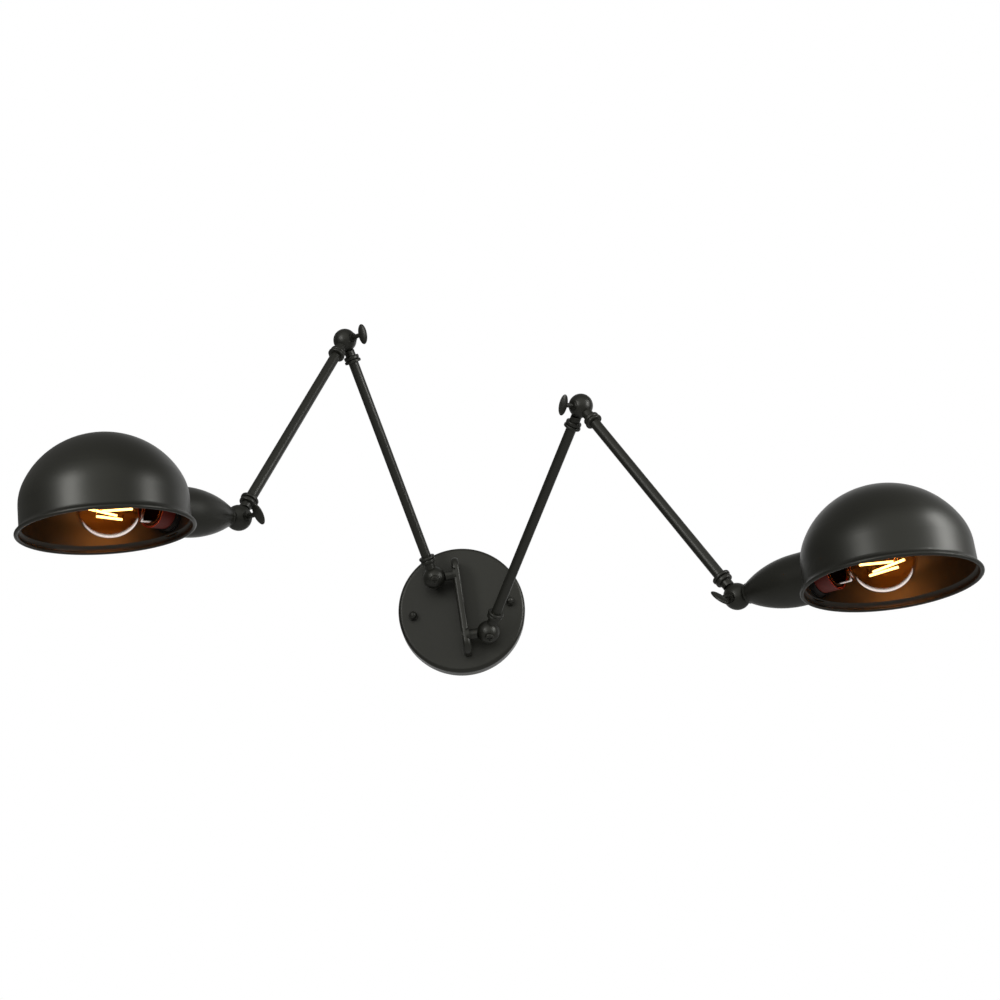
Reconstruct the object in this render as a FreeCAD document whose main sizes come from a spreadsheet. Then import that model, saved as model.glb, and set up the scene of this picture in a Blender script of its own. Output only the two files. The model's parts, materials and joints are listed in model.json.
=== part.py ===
"""Double swing arm wall lamp: a round wall plate, an upright bracket and two jointed arms with bowl shades.

Frame: X to the right, Y into the wall, Z up. The origin is the centre of the plate's back, on the wall.
Each arm is a chain: the base ball's stem turns in the bracket, and the base, elbow and head balls are hinges.
"""
import FreeCAD, Part
import Sketcher
import os

doc = FreeCAD.newDocument("wall_lamp")

# Driving sizes in millimetres, and angles in degrees
SIZES = {
    # Wall plate and what fixes it
    "plate_r": 62.5,
    "plate_depth": 20,
    "plate_sheet": 1.5,
    "plate_edge_r": 4,
    "strap_half_length": 54,
    "strap_half_width": 9,
    "strap_sheet": 2,
    "stud_r": 2.5,
    "stud_spacing": 96,
    "stud_past_plate": 7,
    "stud_hole_fit": 0.3,
    "flush_gap": 0.3,
    "wall_hole_r": 2.5,
    "wall_hole_spacing": 68,
    "cable_hole_r": 6,
    "cap_nut_across": 8,
    "cap_nut_base": 4.5,
    "cap_nut_crown_r": 3.8,
    "cap_nut_top": 1.5,
    "earth_screw_at": 18,
    "earth_screw_r": 2,
    "earth_head_r": 3.6,
    "earth_head_height": 2.4,
    "block_length": 30,
    "block_width": 16,
    "block_height": 12,
    "block_x": 12,
    "block_y": 20,
    "pole_r": 2,
    "pole_count": 3,
    "pole_screw_r": 1.7,
    "pole_screw_depth": 5,
    # Bracket
    "fin_thickness": 7.6,
    "fin_height": 96,
    "fin_proud": 29,
    "fin_corner_r": 12,
    "fin_edge_r": 3,
    "fin_screw_r": 2,
    "fin_screw_depth": 9,
    "fin_screw_spacing": 22,
    "fin_head_r": 4,
    "fin_head_height": 2.6,
    "seat_r": 9.6,
    "seat_depth": 3.3,
    # Base balls, measured from the plate's centre
    "ball_out": 22,
    "ball_front": 40.5,
    "ball_offset": 30.5,
    "stem_flange_r": 8.6,
    "stem_flange": 3,
    "stem_thread_r": 5,
    "stem_fit": 0.05,
    "nut_r": 7.5,
    "nut_height": 1.8,
    "nut_sink": 2,
    "nut_fit": 0.4,
    "nut_slot_width": 2,
    "nut_slot_depth": 0.8,
    # Ball knuckles
    "ball_r": 10.9,
    "ball_wall": 2.6,
    "ball_clear": 0.3,
    "split_gap": 0.3,
    "boss_r": 4.6,
    "neck_r": 4.9,
    "pivot_r": 2.5,
    "pivot_fit": 0.06,
    "pivot_tip_wall": 1.5,
    "pivot_tip_gap": 0.4,
    "pole_flat": 9.9,
    "pole_flat_r": 4.6,
    "head_gap": 0.15,
    "collar_r": 7.2,
    "collar_start": 15.5,
    "collar_length": 4,
    "collar_edge_r": 1.4,
    "socket_depth": 3.2,
    "lock_ring_r": 7.8,
    "lock_ring_width": 3,
    "lock_ring_edge_r": 1.1,
    "wing_shoulder_r": 4.2,
    "wing_shoulder": 1.8,
    "wing_neck_r": 2.1,
    "wing_start": 18,
    "wing_length": 19,
    "wing_width": 10,
    "wing_thickness": 4.2,
    "pivot_head_r": 4.3,
    "pivot_head": 2.4,
    "cross_width": 1.2,
    "cross_length": 5,
    "cross_depth": 1.4,
    # Tubes and flex
    "tube_r": 4.75,
    "tube_bore_r": 3.5,
    "tube_fit": 0.05,
    "flex_r": 3.2,
    "lower_length": 244,
    "upper_length": 230,
    # Socket cup and lampholder, along the axis from the head ball's centre
    "cup_start": 12.4,
    "cup_shoulder": 1.2,
    "cup_neck_r": 8.4,
    "cup_r": 20.2,
    "cup_round_end": 58,
    "cup_sheet": 1.2,
    "spigot_length": 14,
    "spigot_r": 5,
    "holder_tip_r": 5.8,
    "holder_tip": 4,
    "holder_neck_r": 6.8,
    "holder_neck": 10,
    "holder_cone": 18,
    "holder_r": 14.8,
    "holder_end": 91,
    "holder_web_start": 53,
    "holder_web_end": 61,
    "holder_chamber_r": 12,
    "holder_rivet_r": 2,
    "shell_r": 13.6,
    "shell_sheet": 0.4,
    "shell_start": 67,
    "shell_end": 90.4,
    "shell_fit": 0.05,
    "contact_r": 4,
    "contact_height": 2,
    "contact_button_r": 2.5,
    "contact_button": 2,
    "ring_r": 17,
    "ring_height": 6,
    "ring_fit": 0.05,
    "ring_grip_height": 2.4,
    "ring_grip_r": 16,
    # Shade, from its rim plane and its own axis
    "head_reach": 132.7,
    "axis_height": 22.3,
    "seat_lean": 2.6,
    "shade_r": 61,
    "shade_sheet": 1.2,
    "shade_rim_r": 64.4,
    "bead_r": 1.55,
    "lip_top": 6.4,
    "shade_wall": 22,
    "shoulder_r": 39,
    "shade_height": 75.2,
    "land_proud": 0.8,
    "land_r": 20.8,
    "land_bore_r": 17.6,
    "land_hole_r": 15.2,
    "land_trim_r": 20.7,
    "seat_gap": 0.3,
    # Bulb
    "globe_short": 3.5,
    "globe_r": 25.2,
    "glass_wall": 0.8,
    "bulb_neck_r": 11.8,
    "bulb_neck_blend": 8,
    "cap_tip_gap": 0.3,
    "cap_tip_r": 4.8,
    "cap_tip": 2,
    "cap_insulator_r": 8,
    "cap_insulator": 3,
    "cap_thread_r": 13.05,
    "cap_thread_depth": 0.8,
    "cap_thread_pitch": 3.6,
    "cap_turns": 5,
    "cap_skirt_r": 12.9,
    "cap_skirt": 3.5,
    "cap_sheet": 0.4,
    "glass_in_cap": 2,
    "flare_r": 10.7,
    "flare": 2,
    "mount_r": 3.2,
    "mount_height": 23.8,
    "filament_r": 0.9,
    "filament_length": 25.8,
    "filament_ring_r": 10.3,
    "filament_tilt": 9,
    "filament_count": 6,
    "filament_gap": 0.1,
    "spider_r": 0.5,
    # Rest pose of the arms, as photographed
    "right_swivel": 43.4,
    "right_hinge": 63.6,
    "right_lower_twist": -56.1,
    "right_elbow": 76.0,
    "right_upper_twist": -1.7,
    "right_head": 120.0,
    "right_roll": -13.7,
    "right_elbow_wing": 104,
    "right_head_wing": 106,
    "right_bulb_turn": 82,
    "left_swivel": 26.7,
    "left_hinge": 78.2,
    "left_lower_twist": -52.6,
    "left_elbow": 62.9,
    "left_upper_twist": 2.9,
    "left_head": 128.3,
    "left_roll": 7.2,
    "left_elbow_wing": 76,
    "left_head_wing": 158,
    "left_bulb_turn": 87,
}

sheet = doc.addObject("Spreadsheet::Sheet", "Sizes")
for row, (alias, value) in enumerate(SIZES.items(), start=1):
    sheet.set("A%d" % row, alias.replace("_", " "))
    sheet.set("B%d" % row, str(value))
    sheet.setAlias("B%d" % row, alias)
doc.recompute()


def bound(expression):
    """The expression with each size's name pointed at its cell of the sheet."""
    out, word = [], ""
    for letter in str(expression) + " ":
        if letter.isalnum() or letter == "_":
            word += letter
            continue
        out.append("Sizes." + word if word in SIZES else word)
        out.append(letter)
        word = ""
    return "".join(out).strip()


def number(expression):
    """The value of an expression of sizes."""
    return float(sheet.evalExpression(bound(expression)))


def place(item, expression):
    """Bind an object's placement to a frame expression."""
    item.setExpression("Placement", bound(expression))
    return item


def turn(axis, angle):
    """A frame expression: a turn about one axis through the frame's origin."""
    axes = {"x": "1; 0; 0", "y": "0; 1; 0", "z": "0; 0; 1"}
    return "placement(vector(0; 0; 0); rotation(vector(%s); %s))" % (axes[axis], angle)


def shift(x, y, z):
    """A frame expression: a move without a turn."""
    return "placement(vector(%s; %s; %s); rotation(vector(0; 0; 1); 0))" % (x, y, z)


# Solids

def sized(kind, name, **sizes):
    item = doc.addObject("Part::" + kind, name)
    for size, expression in sizes.items():
        item.setExpression(size, bound(expression))
    return item


def rod(name, radius, length, at=("0", "0", "0"), axis="z"):
    """A round bar that starts at a point and runs along one axis."""
    item = sized("Cylinder", name, Radius=radius, Height=length)
    lay = {"z": "", "x": " * " + turn("y", 90), "y": " * " + turn("x", -90)}[axis]
    return place(item, shift(*at) + lay)


def hexagon_bar(name, across, length):
    return sized("Prism", name, Circumradius=across + " / sqrt(3)", Height=length)


def block(name, low, size):
    item = sized("Box", name, Length=size[0], Width=size[1], Height=size[2])
    return place(item, shift(*low))


def joined(name, *pieces):
    item = doc.addObject("Part::MultiFuse", name)
    item.Shapes = list(pieces)
    return item


def without(name, solid, *tools):
    item = doc.addObject("Part::Cut", name)
    item.Base = solid
    item.Tool = tools[0] if len(tools) == 1 else joined(name + "_tools", *tools)
    return item


def group(name, *pieces):
    item = doc.addObject("Part::Compound", name)
    item.Links = list(pieces)
    return item


def origin_plane(body, role):
    return next(f for f in body.Origin.OriginFeatures if f.Role == role)


def outline(sketch, points):
    """Draw a closed outline. A point is (x, y), or (x, y, radius, side) where an arc leads to it."""
    spots = [FreeCAD.Vector(number(p[0]), number(p[1]), 0) for p in points]
    for k, point in enumerate(points):
        start, end = spots[k - 1], spots[k]
        if len(point) == 2:
            sketch.addGeometry(Part.LineSegment(start, end), False)
            continue
        radius, side = number(point[2]), point[3]
        chord = end - start
        across = FreeCAD.Vector(-chord.y, chord.x, 0).normalize()
        rise = max(radius ** 2 - (chord.Length / 2) ** 2, 0) ** 0.5
        centre = (start + end) * 0.5 + across * (rise * side)
        middle = centre - across * (radius * side)
        sketch.addGeometry(Part.Arc(start, middle, end), False)
    count = len(points)
    backwards = [k for k, p in enumerate(points) if len(p) == 4 and p[3] < 0]
    first = [2 if k in backwards else 1 for k in range(count)]
    last = [1 if k in backwards else 2 for k in range(count)]
    add = sketch.addConstraint
    from_origin = ("DistanceX", "DistanceY")
    for k, point in enumerate(points):
        after = (k + 1) % count
        add(Sketcher.Constraint("Coincident", k, last[k], after, first[after]))
        for way, expression, value in zip(from_origin, point[:2], spots[k]):
            held = add(Sketcher.Constraint(way, -1, 1, k, last[k], value))
            sketch.setExpression("Constraints[%d]" % held, bound(expression))
        if len(point) == 4:
            held = add(Sketcher.Constraint("Radius", k, number(point[2])))
            sketch.setExpression("Constraints[%d]" % held, bound(point[2]))


def turned(name, points):
    """A body turned about its own Z axis from an outline of (radius, height) points."""
    body = doc.addObject("PartDesign::Body", name)
    sketch = body.newObject("Sketcher::SketchObject", name + "_outline")
    sketch.AttachmentSupport = [(origin_plane(body, "XZ_Plane"), "")]
    sketch.MapMode = "FlatFace"
    outline(sketch, points)
    spin = body.newObject("PartDesign::Revolution", name + "_turn")
    spin.Profile = sketch
    spin.ReferenceAxis = (sketch, ["V_Axis"])
    spin.Angle = 360
    return body


def ring(name, inner, outer, start, end):
    return turned(name, [(inner, start), (outer, start), (outer, end), (inner, end)])


def rounded_ring(name, inner, outer, start, end, edge):
    """A ring whose outer edges are rounded. An inner radius of 0 gives a disc."""
    return turned(name, [
        (inner, start),
        ("%s - %s" % (outer, edge), start),
        (outer, "%s + %s" % (start, edge), edge, 1),
        (outer, "%s - %s" % (end, edge)),
        ("%s - %s" % (outer, edge), end, edge, 1),
        (inner, end),
    ])


nodes = {}


def node(label, item, frame):
    """Name a finished piece and stand it in its frame."""
    item.Label = label
    nodes[label] = place(item, frame)


# Wall plate and what fixes it, drawn with Z out of the wall and Y up
FRONT = turn("x", 90)
inner_face = "(plate_depth - plate_sheet)"

pan = turned("pan", [
    ("plate_r", "0"),
    ("plate_r", "plate_depth - plate_edge_r"),
    ("plate_r - plate_edge_r", "plate_depth", "plate_edge_r", 1),
    ("0", "plate_depth"),
    ("0", inner_face),
    ("plate_r - plate_edge_r", inner_face),
    ("plate_r - plate_sheet", "plate_depth - plate_edge_r", "plate_edge_r - plate_sheet", -1),
    ("plate_r - plate_sheet", "0"),
])
PAIR = {"left": -1, "right": 1}
pan_holes = []
for way, sign in PAIR.items():
    stud_x = "%d * stud_spacing / 2" % sign
    screw_y = "%d * fin_screw_spacing" % sign
    for use, radius, at in (("stud", "stud_r", (stud_x, "0", "0")),
                            ("screw", "fin_screw_r", ("0", screw_y, "0"))):
        hole_r = radius + " + stud_hole_fit"
        pan_holes.append(rod("pan_%s_hole_%s" % (use, way), hole_r, "plate_depth + 1", at))
node("wall_plate", without("wall_plate", pan, *pan_holes), FRONT)

strip = block("strip", ("-strap_half_length", "-strap_half_width", "0"),
              ("2 * strap_half_length", "2 * strap_half_width", "strap_sheet"))
strap_holes = [rod("strap_cable_hole", "cable_hole_r", "strap_sheet"),
               rod("strap_earth_hole", "earth_screw_r", "strap_sheet", ("earth_screw_at", "0", "0"))]
studs, cap_nuts = [], []
for way, sign in PAIR.items():
    stud_x = "%d * stud_spacing / 2" % sign
    strap_holes.append(rod("strap_stud_hole_" + way, "stud_r", "strap_sheet", (stud_x, "0", "0")))
    wall_x = "%d * wall_hole_spacing / 2" % sign
    strap_holes.append(rod("strap_wall_hole_" + way, "wall_hole_r", "strap_sheet", (wall_x, "0", "0")))
    stud_length = "plate_depth + stud_past_plate - flush_gap"
    studs.append(rod("stud_" + way, "stud_r", stud_length, (stud_x, "0", "flush_gap")))
    hexagon = hexagon_bar("cap_nut_hexagon_" + way, "cap_nut_across", "cap_nut_base")
    crown = sized("Sphere", "cap_nut_crown_" + way, Radius="cap_nut_crown_r")
    crown_neck = rod("cap_nut_neck_" + way, "cap_nut_crown_r", "cap_nut_top", ("0", "0", "cap_nut_base"))
    place(crown, shift("0", "0", "cap_nut_base + cap_nut_top"))
    thread = rod("cap_nut_thread_" + way, "stud_r", "stud_past_plate")
    nut = without("cap_nut_" + way, joined("cap_nut_solid_" + way, hexagon, crown, crown_neck), thread)
    cap_nuts.append(place(nut, shift(stud_x, "0", "plate_depth")))
node("mounting_strap", without("mounting_strap", strip, *strap_holes), FRONT)
node("strap_studs", group("strap_studs", *studs), FRONT)
node("cap_nuts", group("cap_nuts", *cap_nuts), FRONT)

earth = turned("earth_screw", [
    ("0", "flush_gap"),
    ("earth_screw_r", "flush_gap"),
    ("earth_screw_r", "strap_sheet"),
    ("earth_head_r", "strap_sheet"),
    ("earth_head_r", "strap_sheet + earth_head_height"),
    ("0", "strap_sheet + earth_head_height"),
])
node("earth_screw", earth, FRONT + " * " + shift("earth_screw_at", "0", "0"))

connector = block("connector", ("block_x", "block_y", inner_face + " - block_height"),
                  ("block_length", "block_width", "block_height"))
wells = []
for pole in range(SIZES["pole_count"]):
    pole_x = "block_x + block_length * %s / pole_count" % (pole + 0.5)
    pole_z = inner_face + " - block_height / 2"
    wells.append(rod("pole_bore_%d" % pole, "pole_r", "block_width", (pole_x, "block_y", pole_z), "y"))
    well_at = (pole_x, "block_y + block_width / 3", inner_face + " - block_height")
    wells.append(rod("pole_well_%d" % pole, "pole_screw_r", "pole_screw_depth", well_at))
node("terminal_block", without("terminal_block", connector, *wells), FRONT)

# Bracket: a fin with rounded outer corners, with a round seat for each arm's stem on opposite sides
fin = doc.addObject("PartDesign::Body", "fin")
fin_sketch = fin.newObject("Sketcher::SketchObject", "fin_outline")
fin_sketch.AttachmentSupport = [(origin_plane(fin, "XY_Plane"), "")]
fin_sketch.MapMode = "FlatFace"
outline(fin_sketch, [
    ("-fin_height / 2", "plate_depth"),
    ("fin_height / 2", "plate_depth"),
    ("fin_height / 2", "plate_depth + fin_proud"),
    ("-fin_height / 2", "plate_depth + fin_proud"),
])
fin_pad = fin.newObject("PartDesign::Pad", "fin_pad")
fin_pad.Profile = fin_sketch
fin_pad.setExpression("Length", bound("fin_thickness"))
fin_pad.SideType = "Symmetric"
doc.recompute()


def rounded(body, base, name, radius, chosen):
    """A fillet on the edges of a feature whose middle and direction satisfy a test."""
    names = []
    for k, edge in enumerate(base.Shape.Edges, start=1):
        if chosen(edge.BoundBox):
            names.append("Edge%d" % k)
    fillet = body.newObject("PartDesign::Fillet", name)
    fillet.Base = (base, names)
    fillet.setExpression("Radius", bound(radius))
    doc.recompute()
    return fillet


fin_front = number("plate_depth + fin_proud")
fin_back = number("plate_depth")
corners = rounded(fin, fin_pad, "fin_corners", "fin_corner_r",
                  lambda box: box.ZLength > 1 and abs(box.YMin - fin_front) < 0.01)
rounded(fin, corners, "fin_edges", "fin_edge_r",
        lambda box: box.ZLength < 0.01 and box.YMax > fin_back + 0.01)
place(fin, "placement(vector(0; 0; 0); rotation(vector(1; 1; 1); 120))")

fin_cuts, fin_screws, arm_nuts = [], [], {}
for way, sign in PAIR.items():
    stem_y = "%d * ball_offset" % -sign
    seat = sized("Cylinder", "stem_seat_" + way, Radius="seat_r", Height="fin_thickness")
    seat_at = shift("%d * (fin_thickness / 2 - seat_depth)" % sign, stem_y, "ball_front")
    fin_cuts.append(place(seat, seat_at + " * " + turn("y", 90 * sign)))
    sunk = sized("Cylinder", "nut_seat_" + way, Radius="nut_r + nut_fit", Height="fin_thickness")
    sunk_at = shift("%d * (fin_thickness / 2 - nut_sink)" % -sign, stem_y, "ball_front")
    fin_cuts.append(place(sunk, sunk_at + " * " + turn("y", -90 * sign)))
    hole_at = ("-fin_thickness", stem_y, "ball_front")
    fin_cuts.append(rod("stem_hole_" + way, "stem_thread_r + stem_fit", "2 * fin_thickness", hole_at, "x"))
    screw_y = "%d * fin_screw_spacing" % sign
    tapped_at = ("0", screw_y, "plate_depth")
    fin_cuts.append(rod("fin_screw_hole_" + way, "fin_screw_r", "fin_screw_depth", tapped_at))
    screw = turned("fin_screw_" + way, [
        ("0", inner_face + " - fin_head_height"),
        ("fin_head_r", inner_face + " - fin_head_height"),
        ("fin_head_r", inner_face),
        ("fin_screw_r", inner_face),
        ("fin_screw_r", "plate_depth + fin_screw_depth - flush_gap"),
        ("0", "plate_depth + fin_screw_depth - flush_gap"),
    ])
    fin_screws.append(place(screw, shift("0", screw_y, "0")))
node("arm_bracket", without("arm_bracket", fin, *fin_cuts), FRONT)
node("bracket_screws", group("bracket_screws", *fin_screws), FRONT)

# Pieces that the knuckles share, drawn with the hinge along Z and the stem along X
ALONG = turn("y", 90)
half_gap = "split_gap / 2"
collar_end = "(collar_start + collar_length)"
tube_start = "(%s - socket_depth)" % collar_end


def knuckle_half(name, stem, front):
    """Half of a ball knuckle, above its split plane, with its stem. A front half has the screw's seat."""
    ball = sized("Sphere", name + "_ball", Radius="ball_r")
    core = without(name + "_core", sized("Sphere", name + "_hollow", Radius="ball_r - ball_wall"),
                   rod(name + "_boss", "boss_r", "2 * ball_r", ("0", "0", "-ball_r")))
    below = rod(name + "_below", "ball_r + ball_clear", "2 * ball_r + " + half_gap, ("0", "0", "-2 * ball_r"))
    hole_length = "2 * ball_r" if front else "ball_r - pivot_tip_wall"
    hole = rod(name + "_hole", "pivot_r + pivot_fit", hole_length)
    tools = [core, below, hole]
    if front:
        tools.append(rod(name + "_flat", "pole_flat_r", "ball_r", ("0", "0", "pole_flat")))
    solids = [ball]
    if stem == "tube":
        solids.append(rod(name + "_neck", "neck_r", "collar_start", axis="x"))
        collar = rounded_ring(name + "_collar", "0", "collar_r", "collar_start", collar_end, "collar_edge_r")
        solids.append(place(collar, ALONG))
        tools.append(rod(name + "_socket", "tube_r + tube_fit", "socket_depth", (tube_start, "0", "0"), "x"))
        bore_end = tube_start
    elif stem == "bracket":
        flange = "(ball_out - fin_thickness / 2 + seat_depth - stem_flange)"
        thread = "(ball_out + fin_thickness / 2 - nut_sink + nut_height)"
        solids.append(rod(name + "_neck", "neck_r", flange, axis="x"))
        solids.append(rod(name + "_flange", "stem_flange_r", "stem_flange", (flange, "0", "0"), "x"))
        thread_length = thread + " - " + flange
        solids.append(rod(name + "_thread", "stem_thread_r", thread_length, (flange, "0", "0"), "x"))
        bore_end = thread
    else:
        shoulder = "cup_start - cup_shoulder"
        solids.append(rod(name + "_neck", "neck_r", shoulder, axis="x"))
        solids.append(rod(name + "_shoulder", "cup_neck_r", "cup_shoulder", (shoulder, "0", "0"), "x"))
        solids.append(rod(name + "_spigot", "spigot_r", "spigot_length", ("cup_start", "0", "0"), "x"))
        bore_end = "(cup_start + spigot_length)"
    bore_start = "(boss_r + ball_clear)"
    tools.append(rod(name + "_bore", "tube_bore_r", bore_end + " - " + bore_start, (bore_start, "0", "0"), "x"))
    return without(name, joined(name + "_solid", *solids), *tools)


def pivot_screw(name):
    """Cross-head screw through a ball, from the tip in the back half to the head on the front half."""
    shank = turned(name + "_turned", [
        ("0", "pivot_tip_wall + pivot_tip_gap - ball_r"),
        ("pivot_r", "pivot_tip_wall + pivot_tip_gap - ball_r"),
        ("pivot_r", "pole_flat + head_gap"),
        ("pivot_head_r", "pole_flat + head_gap"),
        ("pivot_head_r", "pole_flat + head_gap + pivot_head / 2"),
        ("pivot_head_r - pivot_head / 2", "pole_flat + head_gap + pivot_head", "pivot_head / 2", 1),
        ("0", "pole_flat + head_gap + pivot_head"),
    ])
    top = "pole_flat + head_gap + pivot_head - cross_depth"
    slots = [block(name + "_slot_x", ("-cross_length / 2", "-cross_width / 2", top),
                   ("cross_length", "cross_width", "2 * cross_depth")),
             block(name + "_slot_y", ("-cross_width / 2", "-cross_length / 2", top),
                   ("cross_width", "cross_length", "2 * cross_depth"))]
    return without(name, shank, *slots)


def wing_screw(name):
    """Clamp screw with an oval wing, whose broad faces look along X."""
    shank = turned(name + "_turned", [
        ("0", "pivot_tip_wall + pivot_tip_gap - ball_r"),
        ("pivot_r", "pivot_tip_wall + pivot_tip_gap - ball_r"),
        ("pivot_r", "pole_flat + head_gap"),
        ("wing_shoulder_r", "pole_flat + head_gap"),
        ("wing_shoulder_r", "pole_flat + head_gap + wing_shoulder"),
        ("wing_neck_r", "pole_flat + head_gap + wing_shoulder"),
        ("wing_neck_r", "wing_start + wing_width / 4"),
        ("0", "wing_start + wing_width / 4"),
    ])
    wing = sized("Ellipsoid", name + "_oval", Radius1="wing_width / 2", Radius2="wing_thickness / 2",
                 Radius3="wing_length / 2")
    place(wing, shift("0", "0", "wing_start + wing_width / 2"))
    return joined(name, shank, wing)


def lock_rings(name, length):
    """Lock rings that butt against the collars at both ends of a tube."""
    far_start = "%s - %s - lock_ring_width" % (length, collar_end)
    rings = []
    for end, start in (("near", collar_end), ("far", far_start)):
        rings.append(rounded_ring("%s_%s" % (name, end), "tube_r + tube_fit", "lock_ring_r", start,
                                  start + " + lock_ring_width", "lock_ring_edge_r"))
    return group(name, *rings)


# Shade's section: the crown's arc and the shoulder's arc meet where they share a tangent
crown_at = ("(((shade_height - shoulder_r)^2 - (shade_r - shoulder_r)^2 - shade_wall^2)"
            " / (2 * (shade_height - shoulder_r - shade_wall)))")
crown_r = "(shade_height - %s)" % crown_at
lean = "(%s / (%s - shoulder_r))" % (crown_r, crown_r)
inner_lean = "((%s - shade_sheet) / (%s - shoulder_r))" % (crown_r, crown_r)
crown_edge = ("(shade_r - shoulder_r) * " + lean, "%s + (shade_wall - %s) * %s" % (crown_at, crown_at, lean))
inner_crown_edge = ("(shade_r - shoulder_r) * " + inner_lean,
                    "%s + (shade_wall - %s) * %s" % (crown_at, crown_at, inner_lean))
middle_lean = "((%s - shade_sheet / 2) / (%s - shoulder_r))" % (crown_r, crown_r)
middle_crown_edge = ("(shade_r - shoulder_r) * " + middle_lean,
                     "%s + (shade_wall - %s) * %s" % (crown_at, crown_at, middle_lean))
land_at = "(shade_r + land_proud)"
bead_shoulder = "(bead_r * (1 + sqrt(0.5)))"
lip_foot = "(shade_rim_r - %s)" % bead_shoulder
lip_inner_run = "(%s - shade_r + shade_sheet)" % lip_foot
lip_inner_r = "((%s^2 + (lip_top - %s)^2) / (2 * %s))" % (lip_inner_run, bead_shoulder, lip_inner_run)
lip_outer_run = "(shade_rim_r - bead_r - shade_r)"
lip_outer_r = "((%s^2 + (lip_top - 2 * bead_r)^2) / (2 * %s))" % (lip_outer_run, lip_outer_run)


def shade(name):
    """Bowl with a rolled rim and a flat seat for the cup, drawn with its axis up and its mouth down."""
    bowl = turned(name + "_bowl", [
        ("shade_r - shade_sheet", "lip_top"),
        (lip_foot, bead_shoulder, lip_inner_r, -1),
        ("shade_rim_r - bead_r", "0", "bead_r", 1),
        ("shade_rim_r", "bead_r", "bead_r", 1),
        ("shade_rim_r - bead_r", "2 * bead_r", "bead_r", 1),
        ("shade_r", "lip_top", lip_outer_r, -1),
        ("shade_r", "shade_wall"),
        crown_edge + ("shoulder_r", 1),
        ("0", "shade_height", crown_r, 1),
        ("0", "shade_height - shade_sheet"),
        inner_crown_edge + (crown_r + " - shade_sheet", -1),
        ("shade_r - shade_sheet", "shade_wall", "shoulder_r - shade_sheet", -1),
    ])
    hollow = turned(name + "_hollow", [
        ("shade_r - shade_sheet / 2", "0"),
        ("shade_r - shade_sheet / 2", "shade_wall"),
        middle_crown_edge + ("shoulder_r - shade_sheet / 2", 1),
        ("0", "shade_height - shade_sheet / 2", crown_r + " - shade_sheet / 2", 1),
        ("0", "0"),
    ])

    def seat_rod(use, radius, start, length):
        """A round bar along the head's axis, which leans down from the seat into the bowl."""
        item = sized("Cylinder", name + "_" + use, Radius=radius, Height=length)
        steps = [shift("0", "0", "axis_height"), turn("y", "90 + seat_lean"), shift("0", "0", start)]
        return place(item, " * ".join(steps))

    boss = without(name + "_boss", seat_rod("seat", "land_r", "-" + land_at, "shade_r / 2"), hollow)
    bore = seat_rod("bore", "land_bore_r", "shade_sheet - " + land_at, "shade_r / 2")
    hole = seat_rod("hole", "land_hole_r", "-" + land_at, "shade_r / 2")
    trim = seat_rod("trim", "land_trim_r", "-%s - shade_rim_r" % land_at, "shade_rim_r")
    return without(name, joined(name + "_pressing", bowl, boss), bore, hole, trim)


# Cup, lampholder and bulb, turned about the head's axis from the head ball's centre
cup_end = "(head_reach - %s - seat_gap)" % land_at
cup_round_r = ("(((cup_r - cup_neck_r)^2 + (cup_round_end - cup_start)^2) / (2 * (cup_r - cup_neck_r)))")
cup_inner_neck = ("(cup_r - %s + sqrt((%s - cup_sheet)^2 - (cup_round_end - cup_start - cup_sheet)^2))"
                  % (cup_round_r, cup_round_r))
holder_start = "(cup_start + cup_sheet)"
ring_start = "(head_reach - %s + shade_sheet + seat_gap)" % land_at
cap_tip_at = "(holder_web_end + contact_height + contact_button + cap_tip_gap)"
thread_start = "(%s + cap_tip + cap_insulator)" % cap_tip_at
thread_end = "(%s + cap_turns * cap_thread_pitch)" % thread_start
cap_end = "(%s + cap_skirt)" % thread_end
globe_at = "(head_reach - globe_short)"
blend_at = "(%s - sqrt((globe_r + bulb_neck_blend)^2 - (bulb_neck_r + bulb_neck_blend)^2))" % globe_at
blend_share = "(globe_r / (globe_r + bulb_neck_blend))"
blend_edge = ("(bulb_neck_r + bulb_neck_blend) * " + blend_share,
              "%s + (%s - %s) * %s" % (globe_at, blend_at, globe_at, blend_share))
inner_share = "((globe_r - glass_wall) / (globe_r + bulb_neck_blend))"
inner_edge = ("(bulb_neck_r + bulb_neck_blend) * " + inner_share,
              "%s + (%s - %s) * %s" % (globe_at, blend_at, globe_at, inner_share))


def socket_cup(name):
    return turned(name, [
        ("spigot_r + stem_fit", "cup_start"),
        ("cup_neck_r", "cup_start"),
        ("cup_r", "cup_round_end", cup_round_r, 1),
        ("cup_r", cup_end),
        ("cup_r - cup_sheet", cup_end),
        ("cup_r - cup_sheet", "cup_round_end"),
        (cup_inner_neck, "cup_start + cup_sheet", cup_round_r + " - cup_sheet", -1),
        ("spigot_r + stem_fit", "cup_start + cup_sheet"),
    ])


def lampholder(name):
    cone_start = holder_start + " + holder_neck"
    chamber_start = "cup_start + spigot_length"
    return turned(name, [
        ("spigot_r + stem_fit", holder_start),
        ("holder_tip_r", holder_start),
        ("holder_neck_r", holder_start + " + holder_tip"),
        ("holder_neck_r", cone_start),
        ("holder_r", cone_start + " + holder_cone"),
        ("holder_r", "holder_end"),
        ("shell_r + shell_fit", "holder_end"),
        ("shell_r + shell_fit", "holder_web_end"),
        ("holder_rivet_r", "holder_web_end"),
        ("holder_rivet_r", "holder_web_start"),
        ("holder_chamber_r", "holder_web_start"),
        ("holder_chamber_r", cone_start + " + holder_cone"),
        ("spigot_r + stem_fit", chamber_start),
    ])


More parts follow.
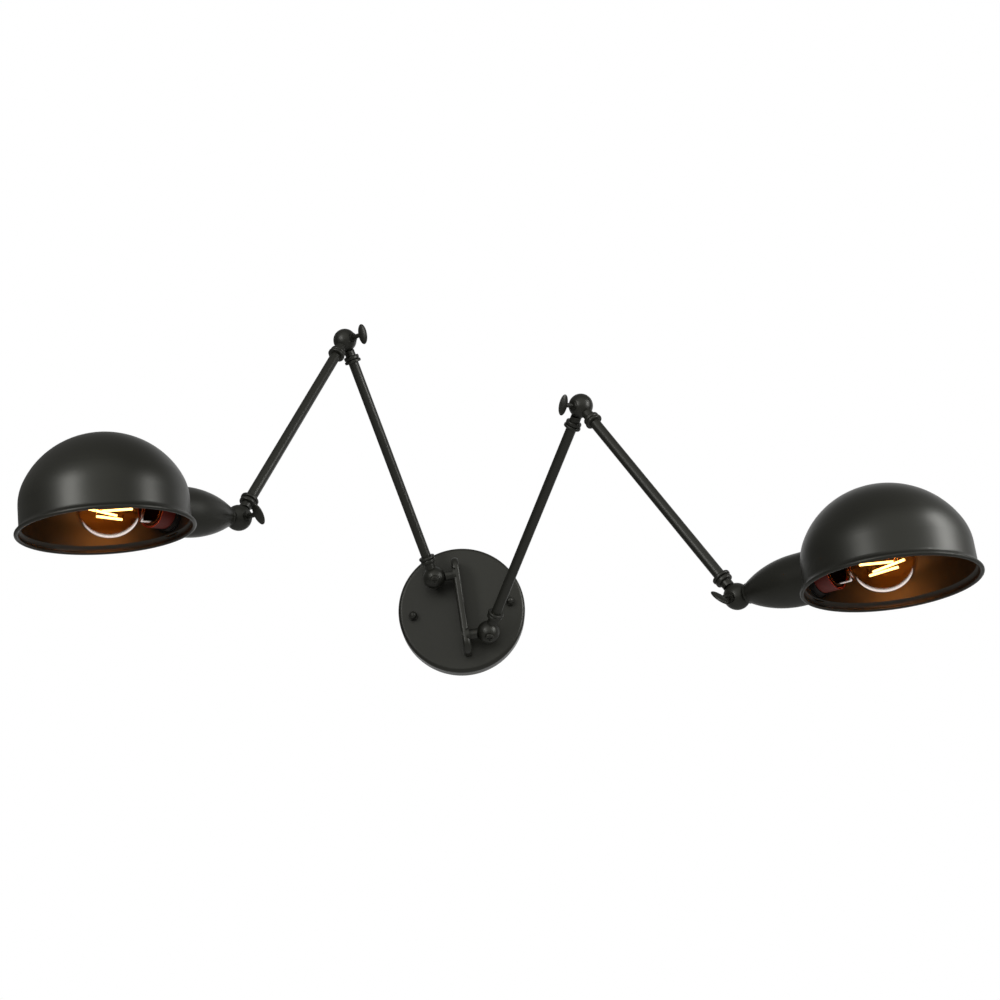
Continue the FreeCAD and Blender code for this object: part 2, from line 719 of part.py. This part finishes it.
def shade_ring(name):
    return turned(name, [
        ("holder_r + ring_fit", ring_start),
        ("ring_r", ring_start),
        ("ring_r", ring_start + " + ring_grip_height"),
        ("ring_grip_r", ring_start + " + ring_grip_height"),
        ("ring_grip_r", ring_start + " + ring_height"),
        ("holder_r + ring_fit", ring_start + " + ring_height"),
    ])


def centre_contact(name):
    return turned(name, [
        ("0", "holder_web_start"),
        ("holder_rivet_r", "holder_web_start"),
        ("holder_rivet_r", "holder_web_end"),
        ("contact_r", "holder_web_end"),
        ("contact_r", "holder_web_end + contact_height"),
        ("contact_button_r", "holder_web_end + contact_height"),
        ("contact_button_r", "holder_web_end + contact_height + contact_button"),
        ("0", "holder_web_end + contact_height + contact_button"),
    ])


def bulb_glass(name):
    inner_neck = "bulb_neck_r - glass_wall"
    foot = cap_end + " - glass_in_cap"
    return turned(name, [
        ("bulb_neck_r - glass_wall", foot),
        ("bulb_neck_r", foot),
        ("bulb_neck_r", blend_at),
        blend_edge + ("bulb_neck_blend", -1),
        ("globe_r", globe_at, "globe_r", 1),
        ("0", globe_at + " + globe_r", "globe_r", 1),
        ("0", globe_at + " + globe_r - glass_wall"),
        ("globe_r - glass_wall", globe_at, "globe_r - glass_wall", -1),
        inner_edge + ("globe_r - glass_wall", -1),
        (inner_neck, blend_at, "bulb_neck_blend + glass_wall", 1),
    ])


def bulb_cap(name):
    points = [
        ("0", cap_tip_at),
        ("cap_tip_r", cap_tip_at),
        ("cap_tip_r", cap_tip_at + " + cap_tip"),
        ("cap_insulator_r", cap_tip_at + " + cap_tip"),
        ("cap_thread_r - cap_thread_depth", thread_start),
    ]
    for crest in range(SIZES["cap_turns"]):
        for radius, turns in (("cap_thread_r", crest + 0.5), ("cap_thread_r - cap_thread_depth", crest + 1)):
            points.append((radius, "%s + %s * cap_thread_pitch" % (thread_start, turns)))
    points += [
        ("cap_skirt_r", thread_end + " + cap_thread_depth"),
        ("cap_skirt_r", cap_end),
        ("bulb_neck_r + tube_fit", cap_end),
        ("bulb_neck_r + tube_fit", thread_start + " + cap_sheet"),
        ("0", thread_start + " + cap_sheet"),
    ]
    return turned(name, points)


mount_at = "(%s - glass_in_cap)" % cap_end
mount_top = "(%s + flare + mount_height)" % mount_at
filament_at = "(%s + spider_r)" % mount_top
spider_at = "(%s + 2 * filament_gap + filament_length * cos(filament_tilt) + spider_r)" % filament_at
half_run = "(filament_length * sin(filament_tilt) / 2)"


def bulb_stem(name):
    """Glass mount with a centre wire, and a spider of wires at each end of the filaments."""
    column = turned(name + "_column", [
        ("0", mount_at),
        ("flare_r", mount_at),
        ("flare_r", mount_at + " + flare / 2"),
        ("mount_r", mount_at + " + flare"),
        ("mount_r", mount_top),
        ("spider_r", mount_top),
        ("spider_r", spider_at + " + 2 * spider_r"),
        ("0", spider_at + " + 2 * spider_r"),
    ])
    reach = "sqrt(filament_ring_r^2 + %s^2)" % half_run
    wires = []
    for k in range(SIZES["filament_count"]):
        lean_way = 1 if k % 2 == 0 else -1
        for end, level, way in (("near", mount_top, -lean_way), ("far", spider_at, lean_way)):
            angle = "%d * 360 / filament_count + %d * atan(%s / filament_ring_r) / 1 deg" % (k, way, half_run)
            wire = rod("%s_%s_wire_%d" % (name, end, k), "spider_r", reach, axis="x")
            steps = [shift("0", "0", level), turn("z", angle), turn("y", 90)]
            wires.append(place(wire, " * ".join(steps)))
    return joined(name, column, *wires)


def filaments(name):
    """Straight glowing rods that lean left and right in turn, so that they zigzag round the mount."""
    rods = []
    for k in range(SIZES["filament_count"]):
        lean_way = -1 if k % 2 == 0 else 1
        one = sized("Cylinder", name + "_rod_%d" % k, Radius="filament_r",
                    Height="filament_length - 2 * filament_r * tan(filament_tilt)")
        foot = shift("filament_ring_r", "%d * %s" % (lean_way, half_run), filament_at + " + filament_gap")
        steps = [turn("z", "%d * 360 / filament_count" % k), foot, turn("x", "%d * filament_tilt" % lean_way),
                 shift("0", "0", "filament_r * tan(filament_tilt)")]
        rods.append(place(one, " * ".join(steps)))
    return group(name, *rods)


# Arms: each side's frames, from the bracket outwards, then its pieces
OVER = turn("x", 180)
for side, sign in PAIR.items():
    def frame(name, expression):
        """A named frame of this arm, for its pieces to stand in."""
        item = doc.addObject("App::Placement", "%s_%s_frame" % (side, name))
        place(item, expression)
        return "%s_%s_frame.Placement" % (side, name)

    base = frame("base", "placement(vector(%d * ball_out; -ball_front; %d * ball_offset);"
                 " rotation(vector(1; 0; 0); 90 + %s_swivel)) * %s"
                 % (sign, -sign, side, turn("z", 90 + 90 * sign)))
    lower = frame("lower", "%s * %s" % (base, turn("z", "%d * (180 - %s_hinge)" % (-sign, side))))
    lower_twist = turn("x", "%d * %s_lower_twist" % (sign, side))
    elbow = frame("elbow", " * ".join([lower, shift("lower_length", "0", "0"), lower_twist, turn("z", 180)]))
    upper = frame("upper", "%s * %s" % (elbow, turn("z", "%d * %s_elbow" % (sign, side))))
    upper_twist = turn("x", "%d * %s_upper_twist" % (sign, side))
    wrist = frame("wrist", " * ".join([upper, shift("upper_length", "0", "0"), upper_twist, turn("z", 180)]))
    head = frame("head", "%s * %s" % (wrist, turn("z", "%d * %s_head" % (-sign, side))))
    roll = turn("x", "%d + %s_roll" % (-90 * sign, side))
    bowl = frame("bowl", " * ".join([head, roll, shift("head_reach", "0", "0"), turn("y", "-seat_lean"),
                                     shift("0", "0", "-axis_height")]))

    def arm_node(label, item, stand):
        node("%s_%s" % (label, side), item, stand)

    def own(label):
        return "%s_%s" % (label, side)

    arm_node("base_stem_half", knuckle_half(own("base_stem_half"), "bracket", False), base + " * " + OVER)
    slot = block(own("base_nut_slot"), ("-nut_slot_width / 2", "-nut_r", "nut_height - nut_slot_depth"),
                 ("nut_slot_width", "2 * nut_r", "nut_height"))
    stem_nut = without(own("base_nut"),
                       ring(own("base_nut_ring"), "stem_thread_r", "nut_r", "0", "nut_height"), slot)
    nut_at = shift("ball_out + fin_thickness / 2 - nut_sink", "0", "0")
    arm_node("base_nut", stem_nut, " * ".join([base, nut_at, ALONG]))
    arm_node("base_arm_half", knuckle_half(own("base_arm_half"), "tube", True), lower)
    arm_node("base_pivot_screw", pivot_screw(own("base_pivot_screw")), base)

    for link, length, stand in (("lower", "lower_length", lower), ("upper", "upper_length", upper)):
        tube_end = "%s - %s" % (length, tube_start)
        along = stand + " * " + ALONG
        tube = ring(own(link + "_tube"), "tube_bore_r", "tube_r", tube_start, tube_end)
        arm_node(link + "_tube", tube, along)
        arm_node(link + "_lock_rings", lock_rings(own(link + "_lock_rings"), length), along)
        arm_node(link + "_flex", turned(own(link + "_flex"), [
            ("0", tube_start),
            ("flex_r", tube_start),
            ("flex_r", tube_end),
            ("0", tube_end),
        ]), along)

    arm_node("elbow_lower_half", knuckle_half(own("elbow_lower_half"), "tube", False), elbow + " * " + OVER)
    arm_node("elbow_upper_half", knuckle_half(own("elbow_upper_half"), "tube", True), upper)
    elbow_wing = elbow + " * " + turn("z", side + "_elbow_wing")
    arm_node("elbow_wing_screw", wing_screw(own("elbow_wing_screw")), elbow_wing)

    arm_node("head_arm_half", knuckle_half(own("head_arm_half"), "tube", False), wrist + " * " + OVER)
    arm_node("head_cup_half", knuckle_half(own("head_cup_half"), "cup", True), head)
    head_wing = wrist + " * " + turn("z", side + "_head_wing")
    arm_node("head_wing_screw", wing_screw(own("head_wing_screw")), head_wing)

    for label, make in (("socket_cup", socket_cup), ("lampholder", lampholder), ("shade_ring", shade_ring),
                        ("centre_contact", centre_contact), ("bulb_glass", bulb_glass),
                        ("bulb_cap", bulb_cap)):
        arm_node(label, make(own(label)), head + " * " + ALONG)
    for label, make in (("bulb_stem", bulb_stem), ("filaments", filaments)):
        arm_node(label, make(own(label)), " * ".join([head, turn("x", side + "_bulb_turn"), ALONG]))
    shell = ring(own("socket_shell"), "shell_r - shell_sheet", "shell_r", "shell_start", "shell_end")
    arm_node("socket_shell", shell, head + " * " + ALONG)
    arm_node("shade", shade(own("shade")), bowl)

# Build, test and write
doc.recompute()
for item in doc.Objects:
    faults = [state for state in item.State if state in ("Invalid", "Error")]
    if faults:
        raise RuntimeError("%s: %s" % (item.Name, item.getStatusString()))
for label, item in nodes.items():
    if item.Shape.isNull() or not item.Shape.isValid() or not item.Shape.Solids:
        raise RuntimeError("%s has no sound solid" % label)

os.makedirs("parts", exist_ok=True)
for label, item in nodes.items():
    item.Shape.exportStep("parts/%s.step" % label)
print("%d pieces written" % len(nodes))
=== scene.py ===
import json

import bpy
from mathutils import Matrix, Vector

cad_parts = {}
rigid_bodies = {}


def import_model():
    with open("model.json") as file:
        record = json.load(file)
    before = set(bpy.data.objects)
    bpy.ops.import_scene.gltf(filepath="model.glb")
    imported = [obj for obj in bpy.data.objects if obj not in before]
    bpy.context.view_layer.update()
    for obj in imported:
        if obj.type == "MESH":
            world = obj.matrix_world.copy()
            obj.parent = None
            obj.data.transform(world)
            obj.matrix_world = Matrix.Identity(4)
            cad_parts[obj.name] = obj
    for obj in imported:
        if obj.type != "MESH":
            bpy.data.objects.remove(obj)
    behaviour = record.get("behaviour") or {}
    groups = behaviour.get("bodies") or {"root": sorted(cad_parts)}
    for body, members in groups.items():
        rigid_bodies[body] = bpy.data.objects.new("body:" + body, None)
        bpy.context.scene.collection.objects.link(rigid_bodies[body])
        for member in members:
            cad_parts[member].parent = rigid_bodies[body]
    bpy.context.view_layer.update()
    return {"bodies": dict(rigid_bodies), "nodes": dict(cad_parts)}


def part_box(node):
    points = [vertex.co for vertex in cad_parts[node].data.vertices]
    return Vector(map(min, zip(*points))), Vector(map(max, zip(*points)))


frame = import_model()


# Mounting strap and studs
# A strip of zinc-plated steel, punched for the wall screws and the cable, and screwed to the wall first.
# Two threaded studs are pressed into it, and the plate is pushed on over them.
zinc_colour = (0.62, 0.63, 0.65)
zinc_roughness = 0.35
bare_cloud_scale = 160
bare_sheen_spread = 0.06


def new_skin(name):
    """A new material and its node tree."""
    skin = bpy.data.materials.new(name)
    skin.use_nodes = True
    return skin, skin.node_tree


def cloud(tree, scale, detail=2):
    """Noise that is laid on the piece's own coordinates."""
    spot = tree.nodes.new("ShaderNodeTexCoord")
    noise = tree.nodes.new("ShaderNodeTexNoise")
    noise.inputs["Scale"].default_value = scale
    noise.inputs["Detail"].default_value = detail
    tree.links.new(spot.outputs["Object"], noise.inputs["Vector"])
    return noise.outputs["Fac"]


def tinted(colour, share):
    """The colour made darker or lighter, with no channel above 1."""
    return [min(channel * share, 1) for channel in colour]


def mottled(tree, noise, dark, light):
    """A colour that drifts between two tones with the noise."""
    tone = tree.nodes.new("ShaderNodeMix")
    tone.data_type = "RGBA"
    tone.inputs["A"].default_value = (*dark, 1)
    tone.inputs["B"].default_value = (*light, 1)
    tree.links.new(noise, tone.inputs["Factor"])
    return tone.outputs["Result"]


def uneven(tree, noise, middle, spread):
    """A roughness that drifts to either side of its middle with the noise."""
    sheen = tree.nodes.new("ShaderNodeMapRange")
    sheen.inputs["To Min"].default_value = middle - spread
    sheen.inputs["To Max"].default_value = middle + spread
    tree.links.new(noise, sheen.inputs["Value"])
    return sheen.outputs["Result"]


def bare(name, colour, roughness, metallic):
    """Unpainted metal or plastic, a little uneven in tone and sheen."""
    skin, tree = new_skin(name)
    shader = tree.nodes["Principled BSDF"]
    shader.inputs["Metallic"].default_value = metallic
    noise = cloud(tree, bare_cloud_scale)
    tone = mottled(tree, noise, tinted(colour, 0.85), tinted(colour, 1.1))
    sheen = uneven(tree, noise, roughness, bare_sheen_spread)
    tree.links.new(tone, shader.inputs["Base Color"])
    tree.links.new(sheen, shader.inputs["Roughness"])
    return skin


def dress(node, skin):
    """Gives one piece its material."""
    piece = frame["nodes"][node]
    piece.data.materials.clear()
    piece.data.materials.append(skin)


zinc = bare("zinc_steel", zinc_colour, zinc_roughness, metallic=1)
for node in ("mounting_strap", "strap_studs"):
    dress(node, zinc)


# Connector and earth screw
# A white moulded block with three poles joins the mains wires to the lamp's own, in the room behind the plate.
# A turned brass screw in the strap takes the earth wire.
connector_colour = (0.80, 0.80, 0.76)
connector_roughness = 0.5
brass_colour = (0.72, 0.52, 0.22)
brass_roughness = 0.32

connector = bare("connector_plastic", connector_colour, connector_roughness, metallic=0)
brass = bare("brass", brass_colour, brass_roughness, metallic=1)
dress("terminal_block", connector)
dress("earth_screw", brass)


# Wall plate and cap nuts
# A round plate pressed from sheet steel, sprayed and baked satin black with a faint olive cast.
# Two domed nuts on the studs draw it against the wall, and they have the same paint.
paint_colour = (0.009, 0.009, 0.0066)
paint_roughness = 0.40
paint_sheen_spread = 0.04
paint_gloss = 0.5
paint_gloss_tint = (1.0, 1.0, 0.94, 1)
paint_cloud_scale = 22
paint_cloud_detail = 4
peel_scale = 700
peel_strength = 0.03
peel_height = 0.0003


def black_paint():
    """Satin black paint with a fine orange-peel grain."""
    skin, tree = new_skin("black_paint")
    shader = tree.nodes["Principled BSDF"]
    shader.inputs["Specular IOR Level"].default_value = paint_gloss
    shader.inputs["Specular Tint"].default_value = paint_gloss_tint
    noise = cloud(tree, paint_cloud_scale, paint_cloud_detail)
    tone = mottled(tree, noise, tinted(paint_colour, 0.86), tinted(paint_colour, 1.14))
    sheen = uneven(tree, noise, paint_roughness, paint_sheen_spread)
    peel = tree.nodes.new("ShaderNodeBump")
    peel.inputs["Strength"].default_value = peel_strength
    peel.inputs["Distance"].default_value = peel_height
    tree.links.new(cloud(tree, peel_scale), peel.inputs["Height"])
    tree.links.new(tone, shader.inputs["Base Color"])
    tree.links.new(sheen, shader.inputs["Roughness"])
    tree.links.new(peel.outputs["Normal"], shader.inputs["Normal"])
    return skin


black = black_paint()
for node in ("wall_plate", "cap_nuts"):
    dress(node, black)


# Arm bracket and its screws
# An upright cast fin, painted like the plate, that carries both arms.
# Two zinc-plated screws hold it from inside the plate.
dress("arm_bracket", black)
dress("bracket_screws", zinc)


# Base joints
# A turned steel ball in two halves for each arm. The wall-side half has a stem that swivels in the bracket,
# where a sunk slotted nut holds it, and a cross-head screw clamps the front half to it.
def dress_both(piece, skin):
    """Dresses the piece of the left arm and its twin on the right."""
    for side in ("left", "right"):
        dress(piece + "_" + side, skin)


for piece in ("base_stem_half", "base_nut", "base_arm_half", "base_pivot_screw"):
    dress_both(piece, black)


# Lower tubes
# Thin steel tube, painted black, screwed into the collars of the base and elbow balls.
# A lock ring at each end is run up against the collar, and a black two-core flex lies inside.
flex_colour = (0.03, 0.03, 0.03)
flex_roughness = 0.6

flex_sheath = bare("flex_sheath", flex_colour, flex_roughness, metallic=0)
dress_both("lower_tube", black)
dress_both("lower_lock_rings", black)
dress_both("lower_flex", flex_sheath)


# Elbow joints
# A turned ball in two halves, painted black, one half on each tube.
# A clamp screw with an oval wing goes through both and is tightened by hand.
for piece in ("elbow_lower_half", "elbow_upper_half", "elbow_wing_screw"):
    dress_both(piece, black)


# Upper tubes
# The same tube, lock rings and flex as below, a little shorter.
# The tubes are screwed into the collars of the elbow and head balls.
dress_both("upper_tube", black)
dress_both("upper_lock_rings", black)
dress_both("upper_flex", flex_sheath)


# Head joints
# A turned ball in two halves like the elbow's, with the same wing screw.
# The outer half carries the socket cup.
for piece in ("head_arm_half", "head_cup_half", "head_wing_screw"):
    dress_both(piece, black)


# Socket cups and lampholders
# The cup is spun steel, egg-shaped and painted black, and it covers a dark red-brown moulded lampholder.
# A brass screw shell and a brass centre contact sit in the lampholder.
bakelite_colour = (0.16, 0.012, 0.006)
bakelite_roughness = 0.5

bakelite = bare("bakelite", bakelite_colour, bakelite_roughness, metallic=0)
dress_both("socket_cup", black)
dress_both("lampholder", bakelite)
dress_both("socket_shell", brass)
dress_both("centre_contact", brass)


# Shades
# A deep bowl spun from sheet steel, with a rolled rim, painted black inside and out.
# A moulded black ring, screwed on the lampholder's nose, clamps it by its flat seat.
ring_colour = (0.010, 0.007, 0.006)
ring_roughness = 0.45

moulded_black = bare("moulded_black", ring_colour, ring_roughness, metallic=0)
dress_both("shade", black)
dress_both("shade_ring", moulded_black)


# Bulb caps and glass
# A globe of thin blown glass, tinted amber, cemented into a brass screw cap whose brass is painted dark as
# shade inside the lampholder.
# Inside stands a pressed glass mount, which holds the filaments' support wires.
cap_shade_colour = (0.10, 0.055, 0.022)
cap_roughness = 0.4
amber_colour = (1.0, 0.90, 0.70)
mount_colour = (0.9, 0.85, 0.75)
glass_shine = (1.0, 0.90, 0.84, 1)
glass_cloud_scale = 60
edge_width = 0.22
edge_shine = 0.85


def thin_glass(name, colour, roughness, edge_start):
    """Glass too thin to bend what is seen through it, with a shiny edge on its outer face."""
    skin, tree = new_skin(name)
    tree.nodes.clear()
    clear = tree.nodes.new("ShaderNodeBsdfTransparent")
    tone = mottled(tree, cloud(tree, glass_cloud_scale), tinted(colour, 0.96), colour)
    tree.links.new(tone, clear.inputs["Color"])
    shine = tree.nodes.new("ShaderNodeBsdfGlossy")
    shine.inputs["Color"].default_value = glass_shine
    shine.inputs["Roughness"].default_value = roughness
    facing = tree.nodes.new("ShaderNodeLayerWeight")
    facing.inputs["Blend"].default_value = 0.5
    edge = tree.nodes.new("ShaderNodeMapRange")
    edge.interpolation_type = "SMOOTHSTEP"
    edge.inputs["From Min"].default_value = edge_start
    edge.inputs["From Max"].default_value = edge_start + edge_width
    edge.inputs["To Max"].default_value = edge_shine
    tree.links.new(facing.outputs["Facing"], edge.inputs["Value"])
    face = tree.nodes.new("ShaderNodeNewGeometry")
    outer = tree.nodes.new("ShaderNodeMath")
    outer.operation = "SUBTRACT"
    outer.inputs[0].default_value = 1
    tree.links.new(face.outputs["Backfacing"], outer.inputs[1])
    mirror = tree.nodes.new("ShaderNodeMath")
    mirror.operation = "MULTIPLY"
    tree.links.new(edge.outputs["Result"], mirror.inputs[0])
    tree.links.new(outer.outputs["Value"], mirror.inputs[1])
    blend = tree.nodes.new("ShaderNodeMixShader")
    tree.links.new(mirror.outputs["Value"], blend.inputs["Fac"])
    tree.links.new(clear.outputs["BSDF"], blend.inputs[1])
    tree.links.new(shine.outputs["BSDF"], blend.inputs[2])
    out = tree.nodes.new("ShaderNodeOutputMaterial")
    tree.links.new(blend.outputs["Shader"], out.inputs["Surface"])
    return skin


# Painted shade: the cap gets a much darker copy of the brass, so that it reads black in the shaded inside of
# the lampholder.
shaded_brass = bare("shaded_brass", cap_shade_colour, cap_roughness, metallic=1)
amber_glass = thin_glass("amber_glass", amber_colour, roughness=0, edge_start=0.5)
mount_glass = thin_glass("mount_glass", mount_colour, roughness=0.1, edge_start=0.6)
dress_both("bulb_cap", shaded_brass)
dress_both("bulb_glass", amber_glass)
dress_both("bulb_stem", mount_glass)


# Filaments
# A cage of straight lit rods, clipped to the support wires, that lean left and right in turn.
# They glow a warm yellow-white, and their light makes the inside of the bowl amber.
glow_dark = (1.0, 0.70, 0.28)
glow_light = (1.0, 0.82, 0.46)
rod_colour = (1.0, 0.8, 0.4, 1)
glow_cloud_scale = 400
glow_strength = 4.5
bulb_light_colour = (1.0, 0.34, 0.10)
bulb_light_power = 0.085
bulb_light_radius = 0.012
scene = bpy.context.scene

filament, tree = new_skin("filament")
rod = tree.nodes["Principled BSDF"]
rod.inputs["Base Color"].default_value = rod_colour
rod.inputs["Emission Strength"].default_value = glow_strength
glow = mottled(tree, cloud(tree, glow_cloud_scale), glow_dark, glow_light)
tree.links.new(glow, rod.inputs["Emission Color"])
dress_both("filaments", filament)
for side in ("left", "right"):
    bulb_light = bpy.data.lights.new("bulb_light_" + side, "POINT")
    bulb_light.color = bulb_light_colour
    bulb_light.energy = bulb_light_power
    bulb_light.shadow_soft_size = bulb_light_radius
    bulb_lamp = bpy.data.objects.new("bulb_light_" + side, bulb_light)
    scene.collection.objects.link(bulb_lamp)
    bulb_lamp.parent = frame["bodies"]["bulb_" + side]
    bulb_lamp.location = sum(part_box("filaments_" + side), Vector()) / 2
    bulb_lamp.visible_camera = False


# Studio room
# A white backdrop stands behind the lamp, seen by the camera and in reflections, and lights nothing else.
# The room on the camera's side is dim, brighter overhead and behind the camera.
room_colour = (1.0, 1.0, 0.96, 1)
white_colour = (1, 1, 1, 1)
overhead = (0, 0, 1)
behind_camera = (0, -1, 0.35)
behind_lamp = (0.3, 1, 0)
scene.view_settings.view_transform = "Standard"


def ramped(tree, value, start, end, low=0, high=1):
    """A smooth step from low to high while the value goes from start to end."""
    ramp = tree.nodes.new("ShaderNodeMapRange")
    ramp.interpolation_type = "SMOOTHSTEP"
    ramp.inputs["From Min"].default_value = start
    ramp.inputs["From Max"].default_value = end
    ramp.inputs["To Min"].default_value = low
    ramp.inputs["To Max"].default_value = high
    tree.links.new(value, ramp.inputs["Value"])
    return ramp.outputs["Result"]


def toward(tree, aim):
    """How nearly a ray of the room runs in one direction."""
    way = tree.nodes.new("ShaderNodeTexCoord")
    dot = tree.nodes.new("ShaderNodeVectorMath")
    dot.operation = "DOT_PRODUCT"
    dot.inputs[1].default_value = Vector(aim).normalized()
    tree.links.new(way.outputs["Generated"], dot.inputs[0])
    return dot.outputs["Value"]


def combined(tree, kind, first, second):
    """Two values put together by one sum."""
    step = tree.nodes.new("ShaderNodeMath")
    step.operation = kind
    tree.links.new(first, step.inputs[0])
    tree.links.new(second, step.inputs[1])
    return step.outputs["Value"]


def mirrored(tree, path):
    """Rays that come from a shiny or a clear surface."""
    return combined(tree, "MAXIMUM", path.outputs["Is Glossy Ray"], path.outputs["Is Transmission Ray"])


world = bpy.data.worlds.new("studio")
scene.world = world
world.use_nodes = True
tree = world.node_tree
tree.nodes.clear()
ceiling = ramped(tree, toward(tree, overhead), -0.4, 0.9, low=0.05, high=0.21)
window = ramped(tree, toward(tree, behind_camera), 0.5, 1.0, high=0.66)
room = tree.nodes.new("ShaderNodeBackground")
room.inputs["Color"].default_value = room_colour
tree.links.new(combined(tree, "ADD", ceiling, window), room.inputs["Strength"])
backdrop = tree.nodes.new("ShaderNodeBackground")
backdrop.inputs["Color"].default_value = white_colour
backdrop.inputs["Strength"].default_value = 1.0
path = tree.nodes.new("ShaderNodeLightPath")
facing_backdrop = ramped(tree, toward(tree, behind_lamp), 0.5, 0.97)
reflected = combined(tree, "MULTIPLY", mirrored(tree, path), facing_backdrop)
shown = combined(tree, "MAXIMUM", path.outputs["Is Camera Ray"], reflected)
pick = tree.nodes.new("ShaderNodeMixShader")
tree.links.new(shown, pick.inputs["Fac"])
tree.links.new(room.outputs["Background"], pick.inputs[1])
tree.links.new(backdrop.outputs["Background"], pick.inputs[2])
out = tree.nodes.new("ShaderNodeOutputWorld")
tree.links.new(pick.outputs["Shader"], out.inputs["Surface"])


# Soft boxes
# Two upright cloth-fronted lights: a large one in front on the left,
# and a smaller one close by on the right that draws the edges of the arms.
for name, spot, aim, width, height, power in (
    ("left_box", (-0.95, -1.65, 0.45), (0, -0.3, 0), 0.5, 0.9, 11.5),
    ("right_box", (1.15, -0.70, 0.17), (0.2, -0.35, 0), 0.35, 0.8, 8.5),
):
    panel = bpy.data.lights.new(name, "AREA")
    panel.shape = "RECTANGLE"
    panel.size = width
    panel.size_y = height
    panel.energy = power
    box = bpy.data.objects.new(name, panel)
    scene.collection.objects.link(box)
    box.visible_camera = False
    box.location = spot
    box.rotation_euler = (Vector(aim) - Vector(spot)).to_track_quat("-Z", "Y").to_euler()


# Floor
# A plain pale floor, well below the lamp and out of the camera's picture.
# Behind the lamp it runs into the white backdrop, which shows as the bright edge on the glass.
floor_reach = 8
floor_level = -1.6
floor_colour = (0.9, 0.9, 0.9, 1)
floor_roughness = 0.9
sweep_start = 0.6
sweep_end = 1.6
seen_white = 0.8

floor_mesh = bpy.data.meshes.new("floor")
corners = [(x * floor_reach, y * floor_reach, floor_level) for x, y in ((-1, -1), (1, -1), (1, 1), (-1, 1))]
floor_mesh.from_pydata(corners, [], [(0, 1, 2, 3)])
floor = bpy.data.objects.new("floor", floor_mesh)
scene.collection.objects.link(floor)
pale_floor, tree = new_skin("pale_floor")
pale = tree.nodes["Principled BSDF"]
pale.inputs["Base Color"].default_value = floor_colour
pale.inputs["Roughness"].default_value = floor_roughness
place = tree.nodes.new("ShaderNodeTexCoord")
depth = tree.nodes.new("ShaderNodeSeparateXYZ")
tree.links.new(place.outputs["Object"], depth.inputs["Vector"])
path = tree.nodes.new("ShaderNodeLightPath")
sharp = combined(tree, "MULTIPLY", mirrored(tree, path), path.outputs["Is Singular Ray"])
swept = combined(tree, "MULTIPLY", sharp, ramped(tree, depth.outputs["Y"], sweep_start, sweep_end))
seen = tree.nodes.new("ShaderNodeMath")
seen.operation = "MULTIPLY"
seen.inputs[1].default_value = seen_white
tree.links.new(path.outputs["Is Camera Ray"], seen.inputs[0])
sweep = tree.nodes.new("ShaderNodeEmission")
join = tree.nodes.new("ShaderNodeMixShader")
tree.links.new(combined(tree, "MAXIMUM", swept, seen.outputs["Value"]), join.inputs["Fac"])
tree.links.new(pale.outputs["BSDF"], join.inputs[1])
tree.links.new(sweep.outputs["Emission"], join.inputs[2])
tree.links.new(join.outputs["Shader"], tree.nodes["Material Output"].inputs["Surface"])
floor_mesh.materials.append(pale_floor)


# Camera
# It stands about 1.25 m in front of the lamp and a little below it, tilted up and rolled to one side.
camera_place = (-0.00672, -1.23074, -0.26970)
camera_lens = 45.18
look = Vector((0.04832, 0.95409, 0.29559)).normalized()
right = Vector((0.98808, -0.00235, -0.15395))
right = (right - look * right.dot(look)).normalized()
up = right.cross(look)
turn = Matrix((right, up, -look)).transposed()

camera = bpy.data.objects.new("camera", bpy.data.cameras.new("camera"))
scene.collection.objects.link(camera)
camera.data.lens = camera_lens
camera.data.clip_start = 0.05
camera.data.clip_end = 30
camera.matrix_world = Matrix.Translation(camera_place) @ turn.to_4x4()
scene.camera = camera
